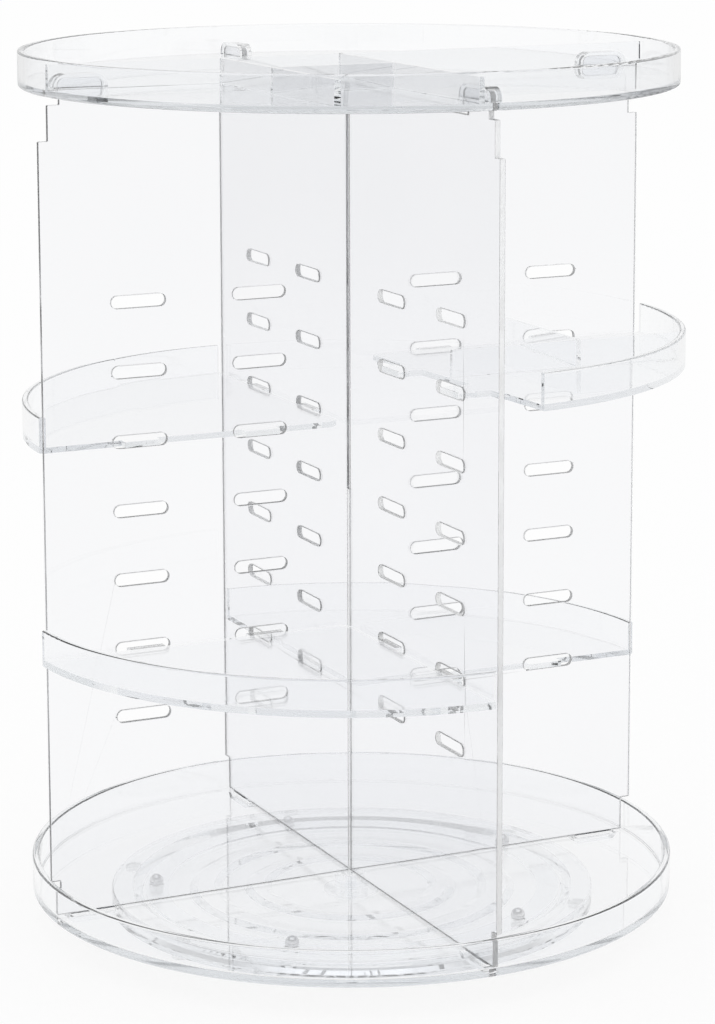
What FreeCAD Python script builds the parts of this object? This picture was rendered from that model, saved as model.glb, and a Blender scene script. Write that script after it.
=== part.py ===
import FreeCAD, Part
import math
import os
import types

import Sketcher

# Driving sizes in millimetres: name, value, what it is

SIZES = [
    ("tray_radius", 115.0, "outside radius of the base tray and the top tray"),
    ("tray_wall", 2.4, "thickness of the round rims of both trays"),
    ("tray_floor", 2.4, "thickness of the floors of both trays"),
    ("base_rim_height", 10.6, "base tray rim above its floor"),
    ("top_rim_height", 10.2, "top tray rim above its floor"),
    ("rim_round", 0.7, "rounding on the rims of both trays"),
    ("foot_round", 1.2, "rounding under the outer edge of both trays"),
    ("inside_round", 0.6, "rounding where the base tray floor meets its rim"),
    ("panel_thickness", 2.0, "thickness of the two upright panels"),
    ("panel_height", 282.4, "upright panels from shoulder edge to shoulder edge"),
    ("panel_overhang", 0.2, "panel edge beyond the tray radius"),
    ("neck_gap", 0.8, "panel neck to the inside of the base rim"),
    ("notch_gap", 1.5, "base rim to the shoulder of the panel above it"),
    ("lap_gap", 0.15, "side play where the two panels slot together"),
    ("lap_end_gap", 0.05, "play at the end of each halving slit"),
    ("tab_length", 15.5, "panel tab along the panel"),
    ("tab_height", 9.0, "upper panel tab beyond the panel edge"),
    ("tab_margin", 4.3, "panel tab to the end of the panel neck"),
    ("tab_corner", 2.5, "rounding of the upper panel tab corners"),
    ("foot_tab_height", 3.0, "lower panel tab beyond the panel edge"),
    ("foot_tab_corner", 1.2, "rounding of the lower panel tab corners"),
    ("socket_fit", 0.3, "play of a panel tab lengthways in its socket"),
    ("socket_side_fit", 0.2, "play of a panel tab sideways in its socket"),
    ("socket_wall", 1.2, "wall of a tab socket"),
    ("socket_end_gap", 0.3, "space under a tab in the base tray"),
    ("top_socket_depth", 5.8, "depth of a socket in the top tray from below"),
    ("seat_gap", 0.05, "air between pieces that rest on each other"),
    ("slot_length", 20.0, "shelf slot along the panel"),
    ("slot_height", 4.4, "shelf slot height"),
    ("slot_inner", 35.0, "centre of the inner slot column from the axis"),
    ("slot_inset", 35.2, "centre of the outer slot column from the panel edge"),
    ("row_pitch", 24.3, "height step between rows of shelf slots"),
    ("shelf_overhang", 0.6, "edge of the left shelf beyond the tray radius"),
    ("wide_shelf_overhang", 3.0, "edge of the other shelves beyond the tray radius"),
    ("shelf_wall", 2.2, "thickness of the shelf rim"),
    ("shelf_floor", 2.0, "thickness of the shelf floor and its tabs"),
    ("shelf_height", 12.5, "shelf from underside to rim"),
    ("shelf_edge_gap", 2.0, "straight shelf edge to the panel face beside it"),
    ("shelf_corner", 3.0, "cut across the inner corner of a shelf"),
    ("shelf_round", 0.6, "rounding on the shelf rim"),
    ("hook_gap", 0.25, "shelf tab end to the far face of the panel"),
    ("hook_play", 0.3, "shelf tab to the inner end of its slot's flat"),
    ("hook_slide", 0.5, "shelf tab room to slide outwards past the panel"),
    ("hook_lift", 0.1, "shelf tab to the bottom of its slot"),
    ("divided_inner_gap", 6.3, "divided shelf: inner end of its short edge to the panel face"),
    ("divided_outer_gap", 13.6, "divided shelf: outer end of its short edge to the panel face"),
    ("fin_thickness", 2.0, "divider fins at their foot"),
    ("fin_draft", 1.5, "lean of the divider fin sides in degrees"),
    ("fin_height", 9.4, "divided shelf fins above its floor"),
    ("long_fin_place", 58.0, "long fin of the divided shelf from the panel it runs along"),
    ("cross_fin_place", 60.0, "cross fin of the divided shelf from the other panel"),
    ("wall_height", 8.5, "divider walls of the top tray above its floor"),
    ("wall_offset", 6.5, "two middle walls of the top tray from the axis"),
    ("side_wall_place", 51.0, "side wall of the top tray from the axis"),
    ("front_wall_place", 50.0, "short front wall of the top tray from the axis"),
    ("plate_gap", 3.5, "base plate edge to the sockets that pass around it"),
    ("plate_band", 7.5, "width of the thick outer band of the base plate"),
    ("plate_thickness", 2.1, "thickness of the base plate web"),
    ("band_rise", 2.4, "base plate band above the web"),
    ("band_drop", 1.7, "base plate band below the web"),
    ("rib_height", 1.0, "stiffening rings on the base plate"),
    ("rib_gap", 8.0, "ball cage to the outer stiffening ring inside it"),
    ("outer_rib_width", 12.0, "width of the outer stiffening ring"),
    ("rib_spacing", 8.0, "web between the two stiffening rings"),
    ("inner_rib_width", 10.0, "width of the inner stiffening ring"),
    ("rib_slope", 3.0, "width of the sloped sides of the stiffening rings"),
    ("band_slope", 3.5, "width of the sloped inner sides of the band"),
    ("race_gap", 0.05, "play of a ball under the tray and above the web"),
    ("ball_diameter", 5.0, "steel ball"),
    ("cage_width", 8.0, "width of the ball cage ring"),
    ("cage_gap", 1.0, "ball cage to the foot of the band around it"),
    ("cage_thickness", 0.8, "thickness of the ball cage ring"),
    ("cage_lift", 0.3, "ball cage above the base plate web"),
    ("cage_play", 0.15, "play of a ball in its cage hole"),
    ("hub_radius", 6.0, "hub under the base tray"),
    ("hub_running_gap", 0.06, "hub to the bore of the base plate"),
    ("hub_end_gap", 0.15, "hub end below the base plate web"),
    ("retainer_radius", 10.0, "retaining washer"),
    ("retainer_thickness", 1.0, "retaining washer"),
    ("pin_radius", 2.0, "shank of the push pin"),
    ("pin_fit", 0.05, "push pin shank to the holes around it"),
    ("pin_head_radius", 4.0, "head of the push pin"),
    ("pin_head_height", 1.0, "head of the push pin"),
    ("pin_hole_roof", 1.2, "solid floor left above the push pin hole"),
    ("pin_end_gap", 0.4, "push pin end to the roof of its hole"),
    ("pad_radius", 3.2, "rubber foot pad"),
    ("pad_height", 1.7, "rubber foot pad"),
]

SLOT_ROWS = 7
BALL_COUNT = 5
BALL_START_DEGREES = 12.2
PAD_COUNT = 6
PAD_START_DEGREES = 20.0
EDGE_TOLERANCE = 0.001


class Size:
    """A length that carries its number and the sheet expression behind it."""

    def __init__(self, value, text):
        self.value = value
        self.text = text

    def __add__(self, other):
        other = as_size(other)
        return Size(self.value + other.value, f"({self.text} + {other.text})")

    def __radd__(self, other):
        return as_size(other) + self

    def __sub__(self, other):
        other = as_size(other)
        return Size(self.value - other.value, f"({self.text} - {other.text})")

    def __rsub__(self, other):
        return as_size(other) - self

    def __mul__(self, other):
        other = as_size(other)
        return Size(self.value * other.value, f"({self.text} * {other.text})")

    def __rmul__(self, other):
        return as_size(other) * self

    def __truediv__(self, other):
        other = as_size(other)
        return Size(self.value / other.value, f"({self.text} / {other.text})")

    def __neg__(self):
        return Size(-self.value, f"(0 - {self.text})")


def as_size(number):
    if isinstance(number, Size):
        return number
    return Size(float(number), repr(float(number)))


def leg(long_side, short_side):
    """Other short side of a right triangle."""
    square = long_side * long_side - short_side * short_side
    return Size(math.sqrt(square.value), f"sqrt({square.text})")


# Document and sheet

doc = FreeCAD.newDocument("rotating_organizer")
sheet = doc.addObject("Spreadsheet::Sheet", "Sizes")
for row, (alias, value, meaning) in enumerate(SIZES, start=1):
    sheet.set(f"A{row}", alias)
    sheet.set(f"B{row}", str(value))
    sheet.setAlias(f"B{row}", alias)
    sheet.set(f"C{row}", meaning)
doc.recompute()
s = types.SimpleNamespace(**{alias: Size(value, f"Sizes.{alias}") for alias, value, meaning in SIZES})

nodes = []


def finish(item, label):
    item.Label = label
    nodes.append(item)
    return item


def lift(item, height, turn_degrees=0.0):
    """Stand an object at a height, turned about the vertical axis."""
    turn = FreeCAD.Rotation(FreeCAD.Vector(0, 0, 1), turn_degrees)
    item.Placement = FreeCAD.Placement(FreeCAD.Vector(0, 0, height.value), turn)
    item.setExpression("Placement.Base.z", height.text)


# Sketching helpers

class Bend:
    """Outline corner that is reached along an arc about the given centre."""

    def __init__(self, x, y, centre_x, centre_y, turn):
        self.corner = (as_size(x), as_size(y))
        self.centre = (as_size(centre_x), as_size(centre_y))
        self.turn = turn


class Drawing:
    """A sketch on one of its body's own planes, with every corner tied to the sheet."""

    def __init__(self, body, name, plane, height=None):
        self.sketch = body.newObject("Sketcher::SketchObject", name)
        support = next(f for f in body.Origin.OriginFeatures if f.Role == plane)
        self.sketch.AttachmentSupport = [(support, "")]
        self.sketch.MapMode = "FlatFace"
        if height is not None:
            self.sketch.setExpression("AttachmentOffset.Base.z", height.text)

    def tie(self, rules, ties, part, point, place):
        for kind, axis, length in (("DistanceX", -2, place[0]), ("DistanceY", -1, place[1])):
            if length is None:
                continue
            if length.value == 0:
                rules.append(Sketcher.Constraint("PointOnObject", part, point, axis))
                continue
            ties.append((len(rules), length.text))
            rules.append(Sketcher.Constraint(kind, -1, 1, part, point, length.value))

    def apply(self, rules, ties):
        first = self.sketch.ConstraintCount
        self.sketch.addConstraint(rules)
        for place, text in ties:
            self.sketch.setExpression(f"Constraints[{first + place}]", text)

    def outline(self, *steps):
        corners = []
        for step in steps:
            corners.append(step.corner if isinstance(step, Bend) else (as_size(step[0]), as_size(step[1])))
        first = self.sketch.GeometryCount
        rules = []
        ties = []
        ends = []
        for index, start in enumerate(corners):
            following = (index + 1) % len(corners)
            step = steps[following]
            here = FreeCAD.Vector(start[0].value, start[1].value, 0)
            there = FreeCAD.Vector(corners[following][0].value, corners[following][1].value, 0)
            if isinstance(step, Bend):
                centre = FreeCAD.Vector(step.centre[0].value, step.centre[1].value, 0)
                circle = Part.Circle(centre, FreeCAD.Vector(0, 0, 1), (here - centre).Length)
                angles = [math.atan2((end - centre).y, (end - centre).x) for end in (here, there)]
                if step.turn < 0:
                    angles.reverse()
                if angles[1] < angles[0]:
                    angles[1] += 2 * math.pi
                self.sketch.addGeometry(Part.ArcOfCircle(circle, angles[0], angles[1]), False)
                ends.append((1, 2) if step.turn > 0 else (2, 1))
                self.tie(rules, ties, first + index, 3, (step.centre[0], None))
            else:
                self.sketch.addGeometry(Part.LineSegment(here, there), False)
                ends.append((1, 2))
        for index, corner in enumerate(corners):
            following = (index + 1) % len(corners)
            rules.append(Sketcher.Constraint("Coincident", first + index, ends[index][1],
                                             first + following, ends[following][0]))
            self.tie(rules, ties, first + index, ends[index][0], corner)
        self.apply(rules, ties)

    def circle(self, x, y, radius):
        centre = (as_size(x), as_size(y))
        middle = FreeCAD.Vector(centre[0].value, centre[1].value, 0)
        part = self.sketch.addGeometry(Part.Circle(middle, FreeCAD.Vector(0, 0, 1), radius.value), False)
        rules = []
        ties = []
        self.tie(rules, ties, part, 3, centre)
        ties.append((len(rules), radius.text))
        rules.append(Sketcher.Constraint("Radius", part, radius.value))
        self.apply(rules, ties)


def new_body(name):
    return doc.addObject("PartDesign::Body", name)


def pad(body, name, drawing, length, symmetric=False, lean=None):
    feature = body.newObject("PartDesign::Pad", name)
    feature.Profile = drawing.sketch
    feature.SideType = "Symmetric" if symmetric else "One side"
    feature.setExpression("Length", length.text)
    if lean is not None:
        feature.setExpression("TaperAngle", lean.text)
    return feature


def pocket(body, name, drawing, length):
    """Cut equally to both sides of the drawing's plane."""
    feature = body.newObject("PartDesign::Pocket", name)
    feature.Profile = drawing.sketch
    feature.SideType = "Symmetric"
    feature.setExpression("Length", length.text)
    return feature


def revolve(body, name, drawing):
    feature = body.newObject("PartDesign::Revolution", name)
    feature.Profile = drawing.sketch
    feature.ReferenceAxis = (drawing.sketch, ["V_Axis"])
    feature.Angle = 360.0
    return feature


def round_circles(body, name, radius, circles):
    """Round the circular edges of the given radius and height."""
    doc.recompute()
    base = body.Tip
    chosen = []
    for number, edge in enumerate(base.Shape.Edges, start=1):
        if not isinstance(edge.Curve, Part.Circle):
            continue
        for wanted_radius, wanted_height in circles:
            level = abs(edge.Curve.Center.z - wanted_height.value) < EDGE_TOLERANCE
            upright = abs(edge.Curve.Axis.z) > 1 - EDGE_TOLERANCE
            if level and upright and abs(edge.Curve.Radius - wanted_radius.value) < EDGE_TOLERANCE:
                chosen.append(f"Edge{number}")
    feature = body.newObject("PartDesign::Fillet", name)
    feature.Base = (base, chosen)
    feature.setExpression("Radius", radius.text)
    return feature


def box_corners(x_low, x_high, y_low, y_high):
    return (x_low, y_low), (x_high, y_low), (x_high, y_high), (x_low, y_high)


# Heights, from the table up

web_under = s.pad_height + s.band_drop
web_top = web_under + s.plate_thickness
band_top = web_top + s.band_rise
ball_radius = s.ball_diameter / 2
ball_height = web_top + s.race_gap + ball_radius
base_under = ball_height + ball_radius + s.race_gap
base_floor = base_under + s.tray_floor
hub_end = web_under - s.hub_end_gap
retainer_under = hub_end - s.seat_gap - s.retainer_thickness
slot_row_middle = s.panel_height / 2
panel_foot = base_floor + s.seat_gap
panel_top = panel_foot + s.panel_height
top_roof = panel_top + s.tab_height + s.seat_gap
top_under = top_roof - s.top_socket_depth
top_floor = top_under + s.tray_floor

# Radii

rim_inside = s.tray_radius - s.tray_wall
panel_reach = s.tray_radius + s.panel_overhang
neck_reach = rim_inside - s.neck_gap
tab_outer = neck_reach - s.tab_margin
tab_inner = tab_outer - s.tab_length
plate_radius = tab_inner - s.socket_fit - s.socket_wall - s.plate_gap
band_inside = plate_radius - s.plate_band
pad_circle = plate_radius - s.plate_band / 2
band_foot = band_inside - s.band_slope
cage_outside = band_foot - s.cage_gap
cage_inside = cage_outside - s.cage_width
race_radius = (cage_outside + cage_inside) / 2
slot_outer = panel_reach - s.slot_inset
slot_end_radius = s.slot_height / 2


# Base plate: a ribbed web with a thick band that stands on the pads

def base_plate():
    body = new_body("BasePlate")
    section = Drawing(body, "PlateSection", "XZ_Plane")
    bore = s.hub_radius + s.hub_running_gap
    outer_rib_end = cage_inside - s.rib_gap
    outer_rib_start = outer_rib_end - s.outer_rib_width
    inner_rib_end = outer_rib_start - s.rib_spacing
    inner_rib_start = inner_rib_end - s.inner_rib_width
    rib_top = web_top + s.rib_height
    section.outline(
        (bore, web_under),
        (band_foot, web_under),
        (band_inside, s.pad_height),
        (plate_radius, s.pad_height),
        (plate_radius, band_top),
        (band_inside, band_top),
        (band_foot, web_top),
        (outer_rib_end, web_top),
        (outer_rib_end - s.rib_slope, rib_top),
        (outer_rib_start + s.rib_slope, rib_top),
        (outer_rib_start, web_top),
        (inner_rib_end, web_top),
        (inner_rib_end - s.rib_slope, rib_top),
        (inner_rib_start + s.rib_slope, rib_top),
        (inner_rib_start, web_top),
        (bore, web_top),
    )
    revolve(body, "PlateTurned", section)
    round_circles(body, "PlateRounding", s.rim_round, [(plate_radius, band_top)])
    return finish(body, "base_plate")


# Ball bearing: cage ring and loose steel balls

def around(radius, start_degrees, count):
    """Points spread evenly on a circle."""
    points = []
    for index in range(count):
        angle = math.radians(start_degrees + index * 360.0 / count)
        points.append((radius * math.cos(angle), radius * math.sin(angle)))
    return points


def ball_cage():
    body = new_body("BallCage")
    ring = Drawing(body, "CageRing", "XY_Plane", web_top + s.cage_lift)
    ring.circle(0, 0, cage_outside)
    ring.circle(0, 0, cage_inside)
    for x, y in around(race_radius, BALL_START_DEGREES, BALL_COUNT):
        ring.circle(x, y, ball_radius + s.cage_play)
    pad(body, "CageBody", ring, s.cage_thickness)
    return finish(body, "ball_cage")


def place_at(item, x, y, z):
    item.Placement = FreeCAD.Placement(FreeCAD.Vector(x.value, y.value, z.value), FreeCAD.Rotation())
    item.setExpression("Placement.Base.x", x.text)
    item.setExpression("Placement.Base.y", y.text)
    item.setExpression("Placement.Base.z", z.text)


def steel_balls():
    for number, (x, y) in enumerate(around(race_radius, BALL_START_DEGREES, BALL_COUNT), start=1):
        ball = doc.addObject("Part::Sphere", f"SteelBall{number}")
        ball.setExpression("Radius", ball_radius.text)
        place_at(ball, x, y, ball_height)
        finish(ball, f"steel_ball_{number}")


def foot_pads():
    for number, (x, y) in enumerate(around(pad_circle, PAD_START_DEGREES, PAD_COUNT), start=1):
        foot = doc.addObject("Part::Cylinder", f"FootPad{number}")
        foot.setExpression("Radius", s.pad_radius.text)
        foot.setExpression("Height", (s.pad_height - s.seat_gap).text)
        place_at(foot, x, y, as_size(0))
        finish(foot, f"foot_pad_{number}")


# Tab sockets of the two trays

def socket_outline(side, end, roof, spread, corner):
    """Rounded pocket outline around one panel tab; it is closed at the end and open at the roof."""
    near = side * (tab_inner - spread)
    far = side * (tab_outer + spread)
    lean = corner * side
    rise = corner if roof.value > end.value else -corner
    bend = side if roof.value > end.value else -side
    return (
        (near, roof),
        (near, end + rise),
        Bend(near + lean, end, near + lean, end + rise, bend),
        (far - lean, end),
        Bend(far, end + rise, far - lean, end + rise, bend),
        (far, roof),
    )


def sockets(body, floor_inside, end, mouth, corner):
    """Four walled sockets that reach from inside the floor to the closed end and open at the mouth."""
    toward_mouth = 1 if mouth.value > end.value else -1
    outer_end = end - s.socket_wall * toward_mouth
    outer_spread = s.socket_fit + s.socket_wall
    inner_width = s.panel_thickness + s.socket_side_fit * 2
    for plane in ("XZ_Plane", "YZ_Plane"):
        shell = Drawing(body, f"SocketShell{plane[:2]}", plane)
        for side in (-1, 1):
            outer_corner = corner + outer_spread
            shell.outline(*socket_outline(side, outer_end, floor_inside, outer_spread, outer_corner))
        pad(body, f"SocketWalls{plane[:2]}", shell, inner_width + s.socket_wall * 2, symmetric=True)
    for plane in ("XZ_Plane", "YZ_Plane"):
        room = Drawing(body, f"SocketRoom{plane[:2]}", plane)
        for side in (-1, 1):
            room.outline(*socket_outline(side, end, mouth, s.socket_fit, corner))
        pocket(body, f"SocketCut{plane[:2]}", room, inner_width)


# Base tray: the turning dish that carries the panels

def base_tray():
    body = new_body("BaseTray")
    section = Drawing(body, "BaseSection", "XZ_Plane")
    rim_top = base_floor + s.base_rim_height
    pin_hole = s.pin_radius + s.pin_fit
    section.outline(
        (0, base_floor),
        (0, base_floor - s.pin_hole_roof),
        (pin_hole, base_floor - s.pin_hole_roof),
        (pin_hole, hub_end),
        (s.hub_radius, hub_end),
        (s.hub_radius, base_under),
        (s.tray_radius, base_under),
        (s.tray_radius, rim_top),
        (rim_inside, rim_top),
        (rim_inside, base_floor),
    )
    revolve(body, "BaseTurned", section)
    round_circles(body, "BaseInsideRound", s.inside_round, [(rim_inside, base_floor)])
    round_circles(body, "BaseRimRound", s.rim_round, [(s.tray_radius, rim_top), (rim_inside, rim_top)])
    round_circles(body, "BaseFootRound", s.foot_round, [(s.tray_radius, base_under)])
    socket_end = base_floor - s.foot_tab_height - s.socket_end_gap
    sockets(body, base_floor - s.tray_floor / 2, socket_end, base_floor + s.tray_floor, s.foot_tab_corner)
    return finish(body, "base_tray")


# Pivot: washer and push pin under the hub

def pivot_retainer():
    body = new_body("PivotRetainer")
    ring = Drawing(body, "RetainerRing", "XY_Plane", retainer_under)
    ring.circle(0, 0, s.retainer_radius)
    ring.circle(0, 0, s.pin_radius + s.pin_fit)
    pad(body, "RetainerBody", ring, s.retainer_thickness)
    return finish(body, "pivot_retainer")


def pivot_pin():
    body = new_body("PivotPin")
    section = Drawing(body, "PinSection", "XZ_Plane")
    head_top = retainer_under - s.seat_gap
    head_under = head_top - s.pin_head_height
    shank_top = base_floor - s.pin_hole_roof - s.pin_end_gap
    section.outline(
        (0, head_under),
        (s.pin_head_radius, head_under),
        (s.pin_head_radius, head_top),
        (s.pin_radius, head_top),
        (s.pin_radius, shank_top),
        (0, shank_top),
    )
    revolve(body, "PinTurned", section)
    return finish(body, "pivot_pin")


# Upright panels: two halved boards with rows of shelf slots

def panel_tab(start, end, edge, tip, corner):
    """Rounded tab between two places along a panel edge, drawn from start to end."""
    along = 1 if end.value > start.value else -1
    outward = 1 if tip.value > edge.value else -1
    corner_x = corner * along
    corner_z = corner * outward
    turn = -along * outward
    return (
        (start, edge),
        (start, tip - corner_z),
        Bend(start + corner_x, tip, start + corner_x, tip - corner_z, turn),
        (end - corner_x, tip),
        Bend(end, tip - corner_z, end - corner_x, tip - corner_z, turn),
        (end, edge),
    )


def stadium(x, z):
    """Round-ended slot."""
    half = s.slot_length / 2 - slot_end_radius
    low = z - slot_end_radius
    high = z + slot_end_radius
    return (
        Bend(x - half, low, x - half, z, 1),
        (x + half, low),
        Bend(x + half, high, x + half, z, 1),
        (x - half, high),
    )


def panel(name, label, slit_opens_upward, turn_degrees):
    body = new_body(name)
    foot = as_size(0)
    head = s.panel_height
    notch = s.base_rim_height + s.notch_gap
    board = Drawing(body, f"{name}Outline", "XZ_Plane")
    board.outline(
        (-neck_reach, foot),
        *panel_tab(-tab_outer, -tab_inner, foot, -s.foot_tab_height, s.foot_tab_corner),
        *panel_tab(tab_inner, tab_outer, foot, -s.foot_tab_height, s.foot_tab_corner),
        (neck_reach, foot),
        (neck_reach, notch),
        (panel_reach, notch),
        (panel_reach, head - notch),
        (neck_reach, head - notch),
        (neck_reach, head),
        *panel_tab(tab_outer, tab_inner, head, head + s.tab_height, s.tab_corner),
        *panel_tab(-tab_inner, -tab_outer, head, head + s.tab_height, s.tab_corner),
        (-neck_reach, head),
        (-neck_reach, head - notch),
        (-panel_reach, head - notch),
        (-panel_reach, notch),
        (-neck_reach, notch),
    )
    pad(body, f"{name}Board", board, s.panel_thickness, symmetric=True)
    through = s.panel_thickness * 2
    slit = Drawing(body, f"{name}SlitOutline", "XZ_Plane")
    slit_half = s.panel_thickness / 2 + s.lap_gap
    if slit_opens_upward:
        slit_low = slot_row_middle - s.lap_end_gap
        slit_high = head + s.tab_height
    else:
        slit_low = -s.foot_tab_height
        slit_high = slot_row_middle + s.lap_end_gap
    slit.outline(*box_corners(-slit_half, slit_half, slit_low, slit_high))
    pocket(body, f"{name}Slit", slit, through)
    rows = Drawing(body, f"{name}SlotOutline", "XZ_Plane")
    lowest = slot_row_middle - s.row_pitch * ((SLOT_ROWS - 1) / 2)
    for place in (-slot_outer, -s.slot_inner, s.slot_inner, slot_outer):
        rows.outline(*stadium(place, lowest))
    slots = pocket(body, f"{name}Slots", rows, through)
    pattern = body.newObject("PartDesign::LinearPattern", f"{name}SlotRows")
    pattern.Originals = [slots]
    pattern.Direction = (rows.sketch, ["V_Axis"])
    pattern.setExpression("Length", (s.row_pitch * (SLOT_ROWS - 1)).text)
    pattern.Occurrences = SLOT_ROWS
    body.Tip = pattern
    lift(body, panel_foot, turn_degrees)
    return finish(body, label)


# Top tray: a dish with divider walls that rests on the panel tabs

def tray_wall(body, name, x_low, x_high, y_low, y_high):
    foot = Drawing(body, f"{name}Foot", "XY_Plane", top_floor)
    foot.outline(*box_corners(x_low, x_high, y_low, y_high))
    pad(body, name, foot, s.wall_height, lean=-s.fin_draft)


def top_tray():
    body = new_body("TopTray")
    section = Drawing(body, "TopSection", "XZ_Plane")
    rim_top = top_floor + s.top_rim_height
    section.outline(
        (0, top_under),
        (s.tray_radius, top_under),
        (s.tray_radius, rim_top),
        (rim_inside, rim_top),
        (rim_inside, top_floor),
        (0, top_floor),
    )
    revolve(body, "TopTurned", section)
    round_circles(body, "TopRimRound", s.rim_round, [(s.tray_radius, rim_top), (rim_inside, rim_top)])
    round_circles(body, "TopFootRound", s.foot_round, [(s.tray_radius, top_under)])
    sockets(body, top_floor - s.tray_floor / 2, top_roof, top_under - s.tray_floor, s.tab_corner)
    half = s.fin_thickness / 2
    rim_middle = s.tray_radius - s.tray_wall / 2
    side_wall_end = leg(rim_middle, s.side_wall_place)
    tray_wall(body, "MiddleWall", -rim_middle, rim_middle, -s.wall_offset - half, half - s.wall_offset)
    tray_wall(body, "FrontWall", -s.wall_offset - half, half - s.wall_offset, -rim_middle, -s.wall_offset)
    tray_wall(body, "SideWall", -s.side_wall_place - half, half - s.side_wall_place,
              -side_wall_end, -s.wall_offset)
    tray_wall(body, "ShortWall", -s.side_wall_place, -s.wall_offset,
              -s.front_wall_place - half, half - s.front_wall_place)
    return finish(body, "top_tray")


# Shelves: quarter dishes whose tabs hook into the panel slots

def shelf(name, label, row, turn_degrees, overhang, divided=False):
    """Quarter shelf drawn in the +X +Y quadrant, then turned to its own; row 1 is the highest."""
    body = new_body(name)
    panel_face = s.panel_thickness / 2
    edge = panel_face + s.shelf_edge_gap
    radius = s.tray_radius + overhang
    inside = radius - s.shelf_wall
    near = panel_face + s.divided_inner_gap if divided else edge
    far = panel_face + s.divided_outer_gap if divided else edge
    x_end = leg(radius, far)
    y_end = leg(radius, edge)
    slope = (far - near) / (x_end - edge)
    hook_tip = s.hook_gap - panel_face
    slide_room = s.panel_thickness - s.hook_gap + s.hook_slide

    def edge_height(x):
        return near + slope * (x - edge)

    hooks = []
    for centre in (s.slot_inner, slot_outer):
        flat = s.slot_length / 2 - slot_end_radius
        hooks.append((centre - flat + s.hook_play, centre + flat - slide_room))
    steps = [(edge + s.shelf_corner, edge_height(edge + s.shelf_corner))]
    for start, end in hooks:
        steps += [(start, edge_height(start)), (start, hook_tip), (end, hook_tip), (end, edge_height(end))]
    steps.append((x_end, far))
    steps.append(Bend(edge, y_end, 0, 0, 1))
    for start, end in reversed(hooks):
        steps += [(edge, end), (hook_tip, end), (hook_tip, start), (edge, start)]
    steps.append((edge, near + s.shelf_corner))
    plate = Drawing(body, f"{name}FloorOutline", "XY_Plane")
    plate.outline(*steps)
    pad(body, f"{name}Floor", plate, s.shelf_floor)

    band = Drawing(body, f"{name}RimOutline", "XY_Plane")
    band.outline(
        Bend(leg(inside, far), far, 0, 0, -1),
        (x_end, far),
        Bend(edge, y_end, 0, 0, 1),
        (edge, leg(inside, edge)),
    )
    pad(body, f"{name}Rim", band, s.shelf_height)
    rim_edges = [(radius, s.shelf_height), (inside, s.shelf_height)]
    round_circles(body, f"{name}RimRound", s.shelf_round, rim_edges)

    if divided:
        half = s.fin_thickness / 2
        rim_middle = radius - s.shelf_wall / 2
        fins = {
            "LongFin": box_corners(s.long_fin_place - half, s.long_fin_place + half,
                                   edge_height(s.long_fin_place) + half, leg(rim_middle, s.long_fin_place)),
            "CrossFin": box_corners(edge + half, s.long_fin_place,
                                    s.cross_fin_place - half, s.cross_fin_place + half),
        }
        for fin, corners in fins.items():
            foot = Drawing(body, f"{fin}Foot", "XY_Plane", s.shelf_floor)
            foot.outline(*corners)
            pad(body, fin, foot, s.fin_height, lean=-s.fin_draft)

    row_height = slot_row_middle + s.row_pitch * ((SLOT_ROWS + 1) / 2 - row)
    lift(body, panel_foot + row_height - slot_end_radius + s.hook_lift, turn_degrees)
    return finish(body, label)


# Assembly

base_plate()
foot_pads()
ball_cage()
steel_balls()
base_tray()
pivot_retainer()
pivot_pin()
panel("PanelAcross", "panel_across", False, 0.0)
panel("PanelDeep", "panel_deep", True, 90.0)
top_tray()
shelf("ShelfLeft", "shelf_left", 3, 90.0, s.shelf_overhang)
shelf("ShelfFront", "shelf_front", 6, 180.0, s.wide_shelf_overhang)
shelf("ShelfRight", "shelf_right", 2, 270.0, s.wide_shelf_overhang, divided=True)
shelf("ShelfBack", "shelf_back", 7, 0.0, s.wide_shelf_overhang)
doc.recompute()

for item in doc.Objects:
    if "Invalid" in item.State or "Error" in item.State:
        raise RuntimeError(f"{item.Name} did not build: {item.State}")

os.makedirs("parts", exist_ok=True)
for node in nodes:
    shape = node.Shape
    if shape.isNull() or not shape.isValid() or len(shape.Solids) != 1:
        raise RuntimeError(f"{node.Label} is not one sound solid")
    shape.exportStep(f"parts/{node.Label}.step")
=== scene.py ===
import math

import bmesh
import bpy
from mathutils import Matrix, Vector

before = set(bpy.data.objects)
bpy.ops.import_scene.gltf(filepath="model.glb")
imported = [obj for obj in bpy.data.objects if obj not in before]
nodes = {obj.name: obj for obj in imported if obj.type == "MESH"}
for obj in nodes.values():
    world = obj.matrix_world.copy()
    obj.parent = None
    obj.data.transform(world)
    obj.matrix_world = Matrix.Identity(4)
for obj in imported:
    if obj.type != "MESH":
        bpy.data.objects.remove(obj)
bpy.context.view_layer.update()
scene = bpy.context.scene

# Photograph frame and the camera fitted to it, in pixels, metres and radians

IMAGE_HEIGHT = 1024
FOCAL_PIXELS = 3305.6
AXIS_ROW = 350
SENSOR = 36.0
CAMERA_PLACE = Vector((-0.4882, -1.0425, 0.3997))
CAMERA_HEADING = 0.4403
CAMERA_PITCH = 0.1683
CAMERA_ROLL = -0.0026
NEAREST_SEEN = 0.01
FARTHEST_SEEN = 60.0
BOUNCES = 48

# Pieces by finish

PANELS = ("panel_across", "panel_deep")
SHELVES = ("shelf_left", "shelf_front", "shelf_right", "shelf_back")
TURNTABLE = ("base_plate", "ball_cage", "pivot_retainer", "pivot_pin")
BALLS = tuple(f"steel_ball_{number}" for number in range(1, 6))
PADS = tuple(f"foot_pad_{number}" for number in range(1, 7))

# Clear plastic of the cut panels and of the moulded pieces

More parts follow.
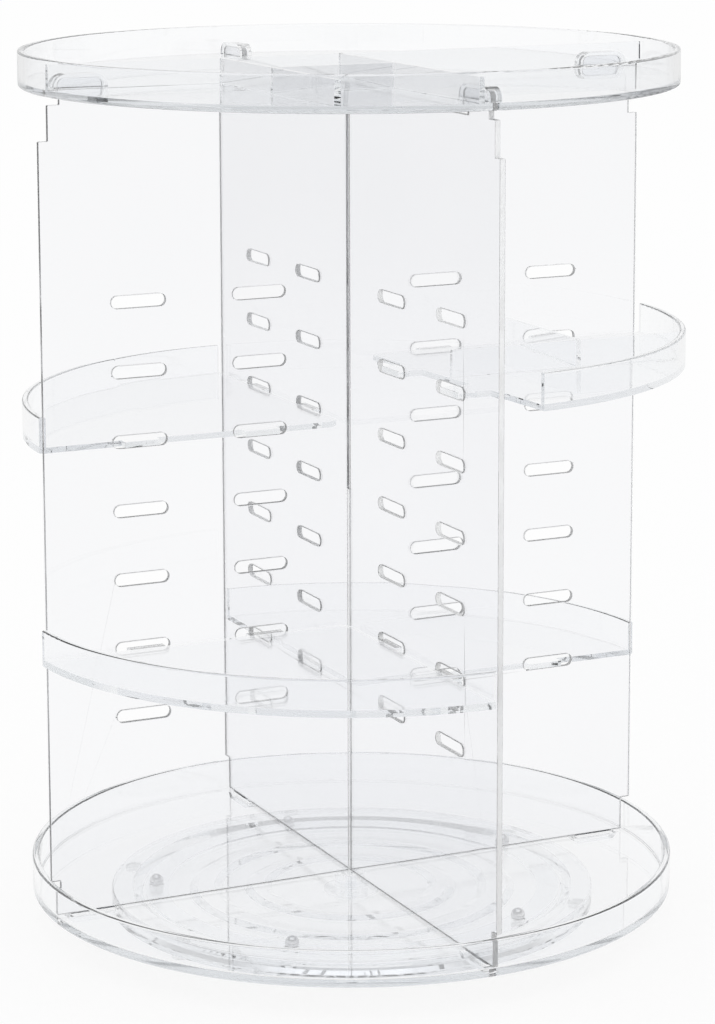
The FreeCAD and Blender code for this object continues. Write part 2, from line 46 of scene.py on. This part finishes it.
SHEET_PALE = (0.97, 0.972, 0.98, 1.0)
SHEET_DEEP = (0.94, 0.943, 0.955, 1.0)
SHEET_FLOW = (1.0, 1.0, 0.3)
MOULDED_PALE = (0.990, 0.994, 0.999, 1.0)
MOULDED_DEEP = (0.973, 0.978, 0.985, 1.0)
MOULDED_FLOW = (1.0, 1.0, 2.0)
PLASTIC_INSIDE = (0.8, 0.82, 0.84, 1.0)
PLASTIC_INDEX = 1.49
CLOUD_DETAIL = 2.0
RIPPLE_SCALE = 14.0
RIPPLE_DETAIL = 1.0
RIPPLE_DEPTH = 0.001
SMEAR_SCALE = 45.0
SMEAR_DETAIL = 3.0
SMEARS_ABOVE = 0.62
SMEAR_HAZE = 0.03

# Cut edges of the panels

EDGE_FROST = 0.3
FROST_LEAN = 0.5
SLOTS_FROM = 0.02
SLOTS_WITHIN = 0.1
SLOT_WHITE = 0.95
MILK_WHITE = (0.95, 0.955, 0.96, 1.0)
EDGE_BREAK = 0.00025
SAME_POINT = 0.000001
FLAT_WITHIN = math.radians(0.5)
SHARP_FROM = math.radians(40)

# Painted shade: a darker grey tint on the front divider walls of the top tray

WALL_PAINTED_SHADE = (0.86, 0.865, 0.875, 1.0)
TOP_FLOOR = 0.3014
INSIDE_RIM = 0.1122
FRONT_WALLS = -0.0085
SOCKET_HALF = 0.004

# Steel and silicone

STEEL_DARK = (0.62, 0.62, 0.63, 1.0)
STEEL_LIGHT = (0.74, 0.74, 0.75, 1.0)
STEEL_SCALE = 900.0
STEEL_DETAIL = 4.0
STEEL_ROUGHNESS = 0.03
STEEL_ROUGHNESS_SPAN = 0.08
SILICONE_DARK = (0.93, 0.935, 0.94, 1.0)
SILICONE_LIGHT = (0.97, 0.972, 0.975, 1.0)
SILICONE_SCALE = 1400.0
SILICONE_DETAIL = 3.0
SILICONE_GRAIN = 0.2
SILICONE_GRAIN_DEPTH = 0.0001
SILICONE_ROUGHNESS = 0.2
SILICONE_ROUGHNESS_SPAN = 0.2
SILICONE_INDEX = 1.41
SILICONE_CLEAR = 0.9

# Floor, and the room that clear walls mirror

FLOOR_HALF = 12.0
FLOOR_CARD = (0.9, 0.9, 0.9, 1.0)
FLOOR_GLOW = 0.9
NEAR_REACH = 0.3
FAR_REACH = 2.4
FAR_GREY = 0.85
HORIZON_GREY = 0.94
ROOM_DIM = 0.5
ZENITH_WHITE = 1.3
WHITE = (1.0, 1.0, 1.0, 1.0)
AFTER_A_BOUNCE = 0.5

# Height in the room and its grey there, the two ends first

ROOM_STOPS = (
    (0.0, HORIZON_GREY),
    (1.0, ZENITH_WHITE),
    (0.42, HORIZON_GREY),
    (0.6, ROOM_DIM),
    (0.82, ROOM_DIM),
    (0.92, ZENITH_WHITE),
)


class Wire:
    """A node output that takes part in arithmetic."""

    def __init__(self, shade, socket):
        self.shade = shade
        self.socket = socket

    def math(self, operation, first, second):
        return self.shade.node("ShaderNodeMath", {"operation": operation}, {0: first, 1: second})

    def __add__(self, other):
        return self.math("ADD", self, other)

    def __radd__(self, other):
        return self.math("ADD", other, self)

    def __sub__(self, other):
        return self.math("SUBTRACT", self, other)

    def __rsub__(self, other):
        return self.math("SUBTRACT", other, self)

    def __mul__(self, other):
        return self.math("MULTIPLY", self, other)

    def __rmul__(self, other):
        return self.math("MULTIPLY", other, self)

    def __abs__(self):
        return self.math("ABSOLUTE", self, 0.0)

    def __lt__(self, other):
        return self.math("LESS_THAN", self, other)

    def __gt__(self, other):
        return self.math("GREATER_THAN", self, other)


class Shade:
    """Makes the nodes of one material or world."""

    def __init__(self, owner):
        self.tree = owner.node_tree
        self.tree.nodes.clear()

    def node(self, kind, settings=None, inputs=None, output=0):
        made = self.tree.nodes.new(kind)
        for name, value in (settings or {}).items():
            if name == "stops":
                ramp = made.color_ramp
                for index, (place, grey) in enumerate(value):
                    stop = ramp.elements[index] if index < 2 else ramp.elements.new(place)
                    stop.position = place
                    stop.color = (grey, grey, grey, 1.0)
            else:
                setattr(made, name, value)
        for name, value in (inputs or {}).items():
            if isinstance(value, Wire):
                self.tree.links.new(value.socket, made.inputs[name])
            else:
                made.inputs[name].default_value = value
        return Wire(self, made.outputs[output]) if made.outputs else None

    def place(self):
        return self.node("ShaderNodeTexCoord", output="Object")

    def along(self, vector, axis):
        return self.node("ShaderNodeSeparateXYZ", None, {0: vector}, output=axis)

    def length(self, vector):
        return self.node("ShaderNodeVectorMath", {"operation": "LENGTH"}, {0: vector}, output="Value")

    def noise(self, vector, scale, detail):
        return self.node("ShaderNodeTexNoise", None, {"Vector": vector, "Scale": scale, "Detail": detail})

    def blend(self, share, first, second):
        return self.node("ShaderNodeMix", {"data_type": "RGBA"},
                         {"Factor": share, "A": first, "B": second}, output="Result")

    def bump(self, strength, depth, height):
        return self.node("ShaderNodeBump", None,
                         {"Strength": strength, "Distance": depth, "Height": height}, output="Normal")


def new_material(name):
    material = bpy.data.materials.new(name)
    material.use_nodes = True
    return material, Shade(material)


def dress(names, material):
    for name in names:
        nodes[name].material_slots[0].material = material


# Places on a piece, 1 inside and 0 outside

def board_edges(face_axis, long_axis, tilt, outline_white):
    """The frosted edges of a board, and how white its outline and its slots are.

    Tilt is how far a white edge may lean towards the faces: a small one leaves the bevels clear.
    """
    def mask(shade):
        facing = shade.node("ShaderNodeTexCoord", output="Normal")
        place = shade.place()
        lean = abs(shade.along(facing, face_axis))
        edges = lean < FROST_LEAN
        reach = abs(shade.along(place, long_axis))
        outline = reach > SLOTS_WITHIN
        slots = (reach > SLOTS_FROM) * (reach < SLOTS_WITHIN)
        return edges, (lean < tilt) * (outline * outline_white + slots * SLOT_WHITE)
    return mask


def painted_shade_walls(shade):
    """Where shade is painted: the front divider walls of the top tray, without its rim and its socket."""
    place = shade.place()
    flat = shade.node("ShaderNodeVectorMath", {"operation": "MULTIPLY"}, {0: place, 1: (1.0, 1.0, 0.0)})
    reach = shade.length(flat)
    x, y, height = (shade.along(place, axis) for axis in "XYZ")
    return (reach < INSIDE_RIM) * (height > TOP_FLOOR) * (y < FRONT_WALLS) * (abs(x) > SOCKET_HALF)


# Materials

def clear_plastic(name, pale, deep, cloud_scale, flow, ripple, absorb, white=None, through=0.0, grey=None):
    """Clear plastic with faint clouding, flow ripple and a little haze.

    White gives the frosted edges and how white a place is, through the share of light that the white
    lets pass, and grey a place where a darker grey tint is painted on as shade.
    """
    material, shade = new_material(name)
    place = shade.place()
    stretched = shade.node("ShaderNodeMapping", None, {"Vector": place, "Scale": flow})
    colour = shade.blend(shade.noise(place, cloud_scale, CLOUD_DETAIL), pale, deep)
    if grey:
        # painted shade: the places that grey marks get a darker grey tint
        colour = shade.blend(grey(shade), colour, WALL_PAINTED_SHADE)
    bump = shade.bump(ripple, RIPPLE_DEPTH, shade.noise(stretched, RIPPLE_SCALE, RIPPLE_DETAIL))
    smears = shade.noise(stretched, SMEAR_SCALE, SMEAR_DETAIL)
    roughness = (smears > SMEARS_ABOVE) * SMEAR_HAZE
    if white:
        edges, whiteness = white(shade)
        roughness = roughness + edges * EDGE_FROST
    skin = shade.node("ShaderNodeBsdfPrincipled", None, {
        "Base Color": colour,
        "Roughness": roughness,
        "IOR": PLASTIC_INDEX,
        "Transmission Weight": 1.0,
        "Normal": bump,
    })
    if white:
        thrown_back = shade.node("ShaderNodeBsdfDiffuse", None, {"Color": MILK_WHITE})
        let_through = shade.node("ShaderNodeBsdfTranslucent", None, {"Color": MILK_WHITE})
        milk = shade.node("ShaderNodeMixShader", None, {0: through, 1: thrown_back, 2: let_through})
        skin = shade.node("ShaderNodeMixShader", None, {0: whiteness, 1: skin, 2: milk})
    inside = shade.node("ShaderNodeVolumeAbsorption", None, {"Color": PLASTIC_INSIDE, "Density": absorb})
    shade.node("ShaderNodeOutputMaterial", None, {"Surface": skin, "Volume": inside})
    return material


def cut_sheet(name, white, through):
    return clear_plastic(name, SHEET_PALE, SHEET_DEEP, cloud_scale=9.0, flow=SHEET_FLOW, ripple=0.002,
                         absorb=4.0, white=white, through=through)


def moulded(name, cloud_scale, ripple, absorb, grey=None):
    return clear_plastic(name, MOULDED_PALE, MOULDED_DEEP, cloud_scale, flow=MOULDED_FLOW, ripple=ripple,
                         absorb=absorb, grey=grey)


def bearing_steel():
    material, shade = new_material("bearing_steel")
    grain = shade.noise(shade.place(), STEEL_SCALE, STEEL_DETAIL)
    skin = shade.node("ShaderNodeBsdfPrincipled", None, {
        "Base Color": shade.blend(grain, STEEL_DARK, STEEL_LIGHT),
        "Metallic": 1.0,
        "Roughness": grain * STEEL_ROUGHNESS_SPAN + STEEL_ROUGHNESS,
    })
    shade.node("ShaderNodeOutputMaterial", None, {"Surface": skin})
    return material


def clear_silicone():
    material, shade = new_material("clear_silicone")
    grain = shade.noise(shade.place(), SILICONE_SCALE, SILICONE_DETAIL)
    colour = shade.blend(grain, SILICONE_DARK, SILICONE_LIGHT)
    bump = shade.bump(SILICONE_GRAIN, SILICONE_GRAIN_DEPTH, grain)
    skin = shade.node("ShaderNodeBsdfPrincipled", None, {
        "Base Color": colour,
        "Roughness": grain * SILICONE_ROUGHNESS_SPAN + SILICONE_ROUGHNESS,
        "IOR": SILICONE_INDEX,
        "Transmission Weight": SILICONE_CLEAR,
        "Normal": bump,
    })
    shade.node("ShaderNodeOutputMaterial", None, {"Surface": skin})
    return material


across_edges = board_edges("Y", "X", tilt=0.5, outline_white=0.05)
deep_edges = board_edges("X", "Y", tilt=0.9, outline_white=0.7)
dress(("panel_across",), cut_sheet("panel_across_clear", across_edges, through=0.75))
dress(("panel_deep",), cut_sheet("panel_deep_clear", deep_edges, through=0.0))
dress(("base_tray",), moulded("base_tray_clear", cloud_scale=12.0, ripple=0.0002, absorb=6.0))
# the top tray's front divider walls get a painted shade
dress(("top_tray",), moulded("top_tray_clear", cloud_scale=12.0, ripple=0.0006, absorb=6.0,
                             grey=painted_shade_walls))
dress(SHELVES, moulded("shelf_clear", cloud_scale=14.0, ripple=0.001, absorb=6.0))
dress(TURNTABLE, moulded("turntable_clear", cloud_scale=16.0, ripple=0.0002, absorb=4.0))
dress(BALLS, bearing_steel())
dress(PADS, clear_silicone())


# Edges broken by the cutter

def break_edges(names):
    """A narrow bevel along every sharp edge of the pieces."""
    for name in names:
        piece = nodes[name]
        piece.modifiers.new("weld", "WELD").merge_threshold = SAME_POINT
        flats = piece.modifiers.new("flats", "DECIMATE")
        flats.decimate_type = "DISSOLVE"
        flats.angle_limit = FLAT_WITHIN
        bevel = piece.modifiers.new("edge_break", "BEVEL")
        bevel.limit_method = "ANGLE"
        bevel.angle_limit = SHARP_FROM
        bevel.width = EDGE_BREAK
        bevel.segments = 1
        bevel.use_clamp_overlap = False
        piece.modifiers.new("shading", "WEIGHTED_NORMAL")


break_edges(PANELS)


# White floor and soft surround

def mirrored_rays(shade):
    """1 for a sight line that a surface has mirrored, 0 for one that came straight or through clear walls."""
    return shade.node("ShaderNodeLightPath", output="Glossy Depth") > AFTER_A_BOUNCE


def white_floor():
    mesh = bpy.data.meshes.new("floor")
    grid = bmesh.new()
    bmesh.ops.create_grid(grid, x_segments=1, y_segments=1, size=FLOOR_HALF)
    grid.to_mesh(mesh)
    grid.free()
    floor = bpy.data.objects.new("floor", mesh)
    scene.collection.objects.link(floor)
    material, shade = new_material("white_floor")
    reach = shade.length(shade.place())
    falloff = shade.node("ShaderNodeMapRange", {"interpolation_type": "SMOOTHSTEP"}, {
        "Value": reach,
        "From Min": NEAR_REACH,
        "From Max": FAR_REACH,
        "To Min": 0.0,
        "To Max": 1.0 - FAR_GREY,
    })
    level = 1.0 - falloff * mirrored_rays(shade)
    scattered = shade.node("ShaderNodeLightPath", output="Diffuse Depth") > AFTER_A_BOUNCE
    card = shade.node("ShaderNodeBsdfDiffuse", None, {"Color": FLOOR_CARD})
    glow = shade.node("ShaderNodeEmission", None, {"Color": level, "Strength": 1.0})
    mixed = shade.node("ShaderNodeMixShader", None, {0: (1.0 - scattered) * FLOOR_GLOW, 1: card, 2: glow})
    shade.node("ShaderNodeOutputMaterial", None, {"Surface": mixed})
    mesh.materials.append(material)


def soft_surround():
    world = bpy.data.worlds.new("surround")
    scene.world = world
    world.use_nodes = True
    shade = Shade(world)
    direction = shade.node("ShaderNodeTexCoord", output="Generated")
    height = shade.along(direction, "Z")
    room = shade.node("ShaderNodeValToRGB", {"stops": ROOM_STOPS}, {"Fac": height})
    dim = shade.node("ShaderNodeBackground", None, {"Color": room, "Strength": 1.0})
    white = shade.node("ShaderNodeBackground", None, {"Color": WHITE, "Strength": 1.0})
    mixed = shade.node("ShaderNodeMixShader", None, {0: mirrored_rays(shade), 1: white, 2: dim})
    shade.node("ShaderNodeOutputWorld", None, {"Surface": mixed})


white_floor()
soft_surround()

# Camera

lens = bpy.data.cameras.new("camera")
lens.sensor_width = SENSOR
lens.lens = FOCAL_PIXELS * SENSOR / IMAGE_HEIGHT
lens.shift_y = (AXIS_ROW - IMAGE_HEIGHT / 2) / IMAGE_HEIGHT
lens.clip_start = NEAREST_SEEN
lens.clip_end = FARTHEST_SEEN
camera = bpy.data.objects.new("camera", lens)
scene.collection.objects.link(camera)
aim = Matrix.Rotation(-CAMERA_HEADING, 4, "Z") @ Matrix.Rotation(math.pi / 2 - CAMERA_PITCH, 4, "X")
camera.matrix_world = Matrix.Translation(CAMERA_PLACE) @ aim @ Matrix.Rotation(CAMERA_ROLL, 4, "Z")
scene.camera = camera

# Plain view, and enough bounces for sight lines through many clear walls

scene.view_settings.view_transform = "Standard"
scene.cycles.max_bounces = BOUNCES
scene.cycles.transmission_bounces = BOUNCES
scene.cycles.glossy_bounces = BOUNCES

bpy.context.view_layer.update()
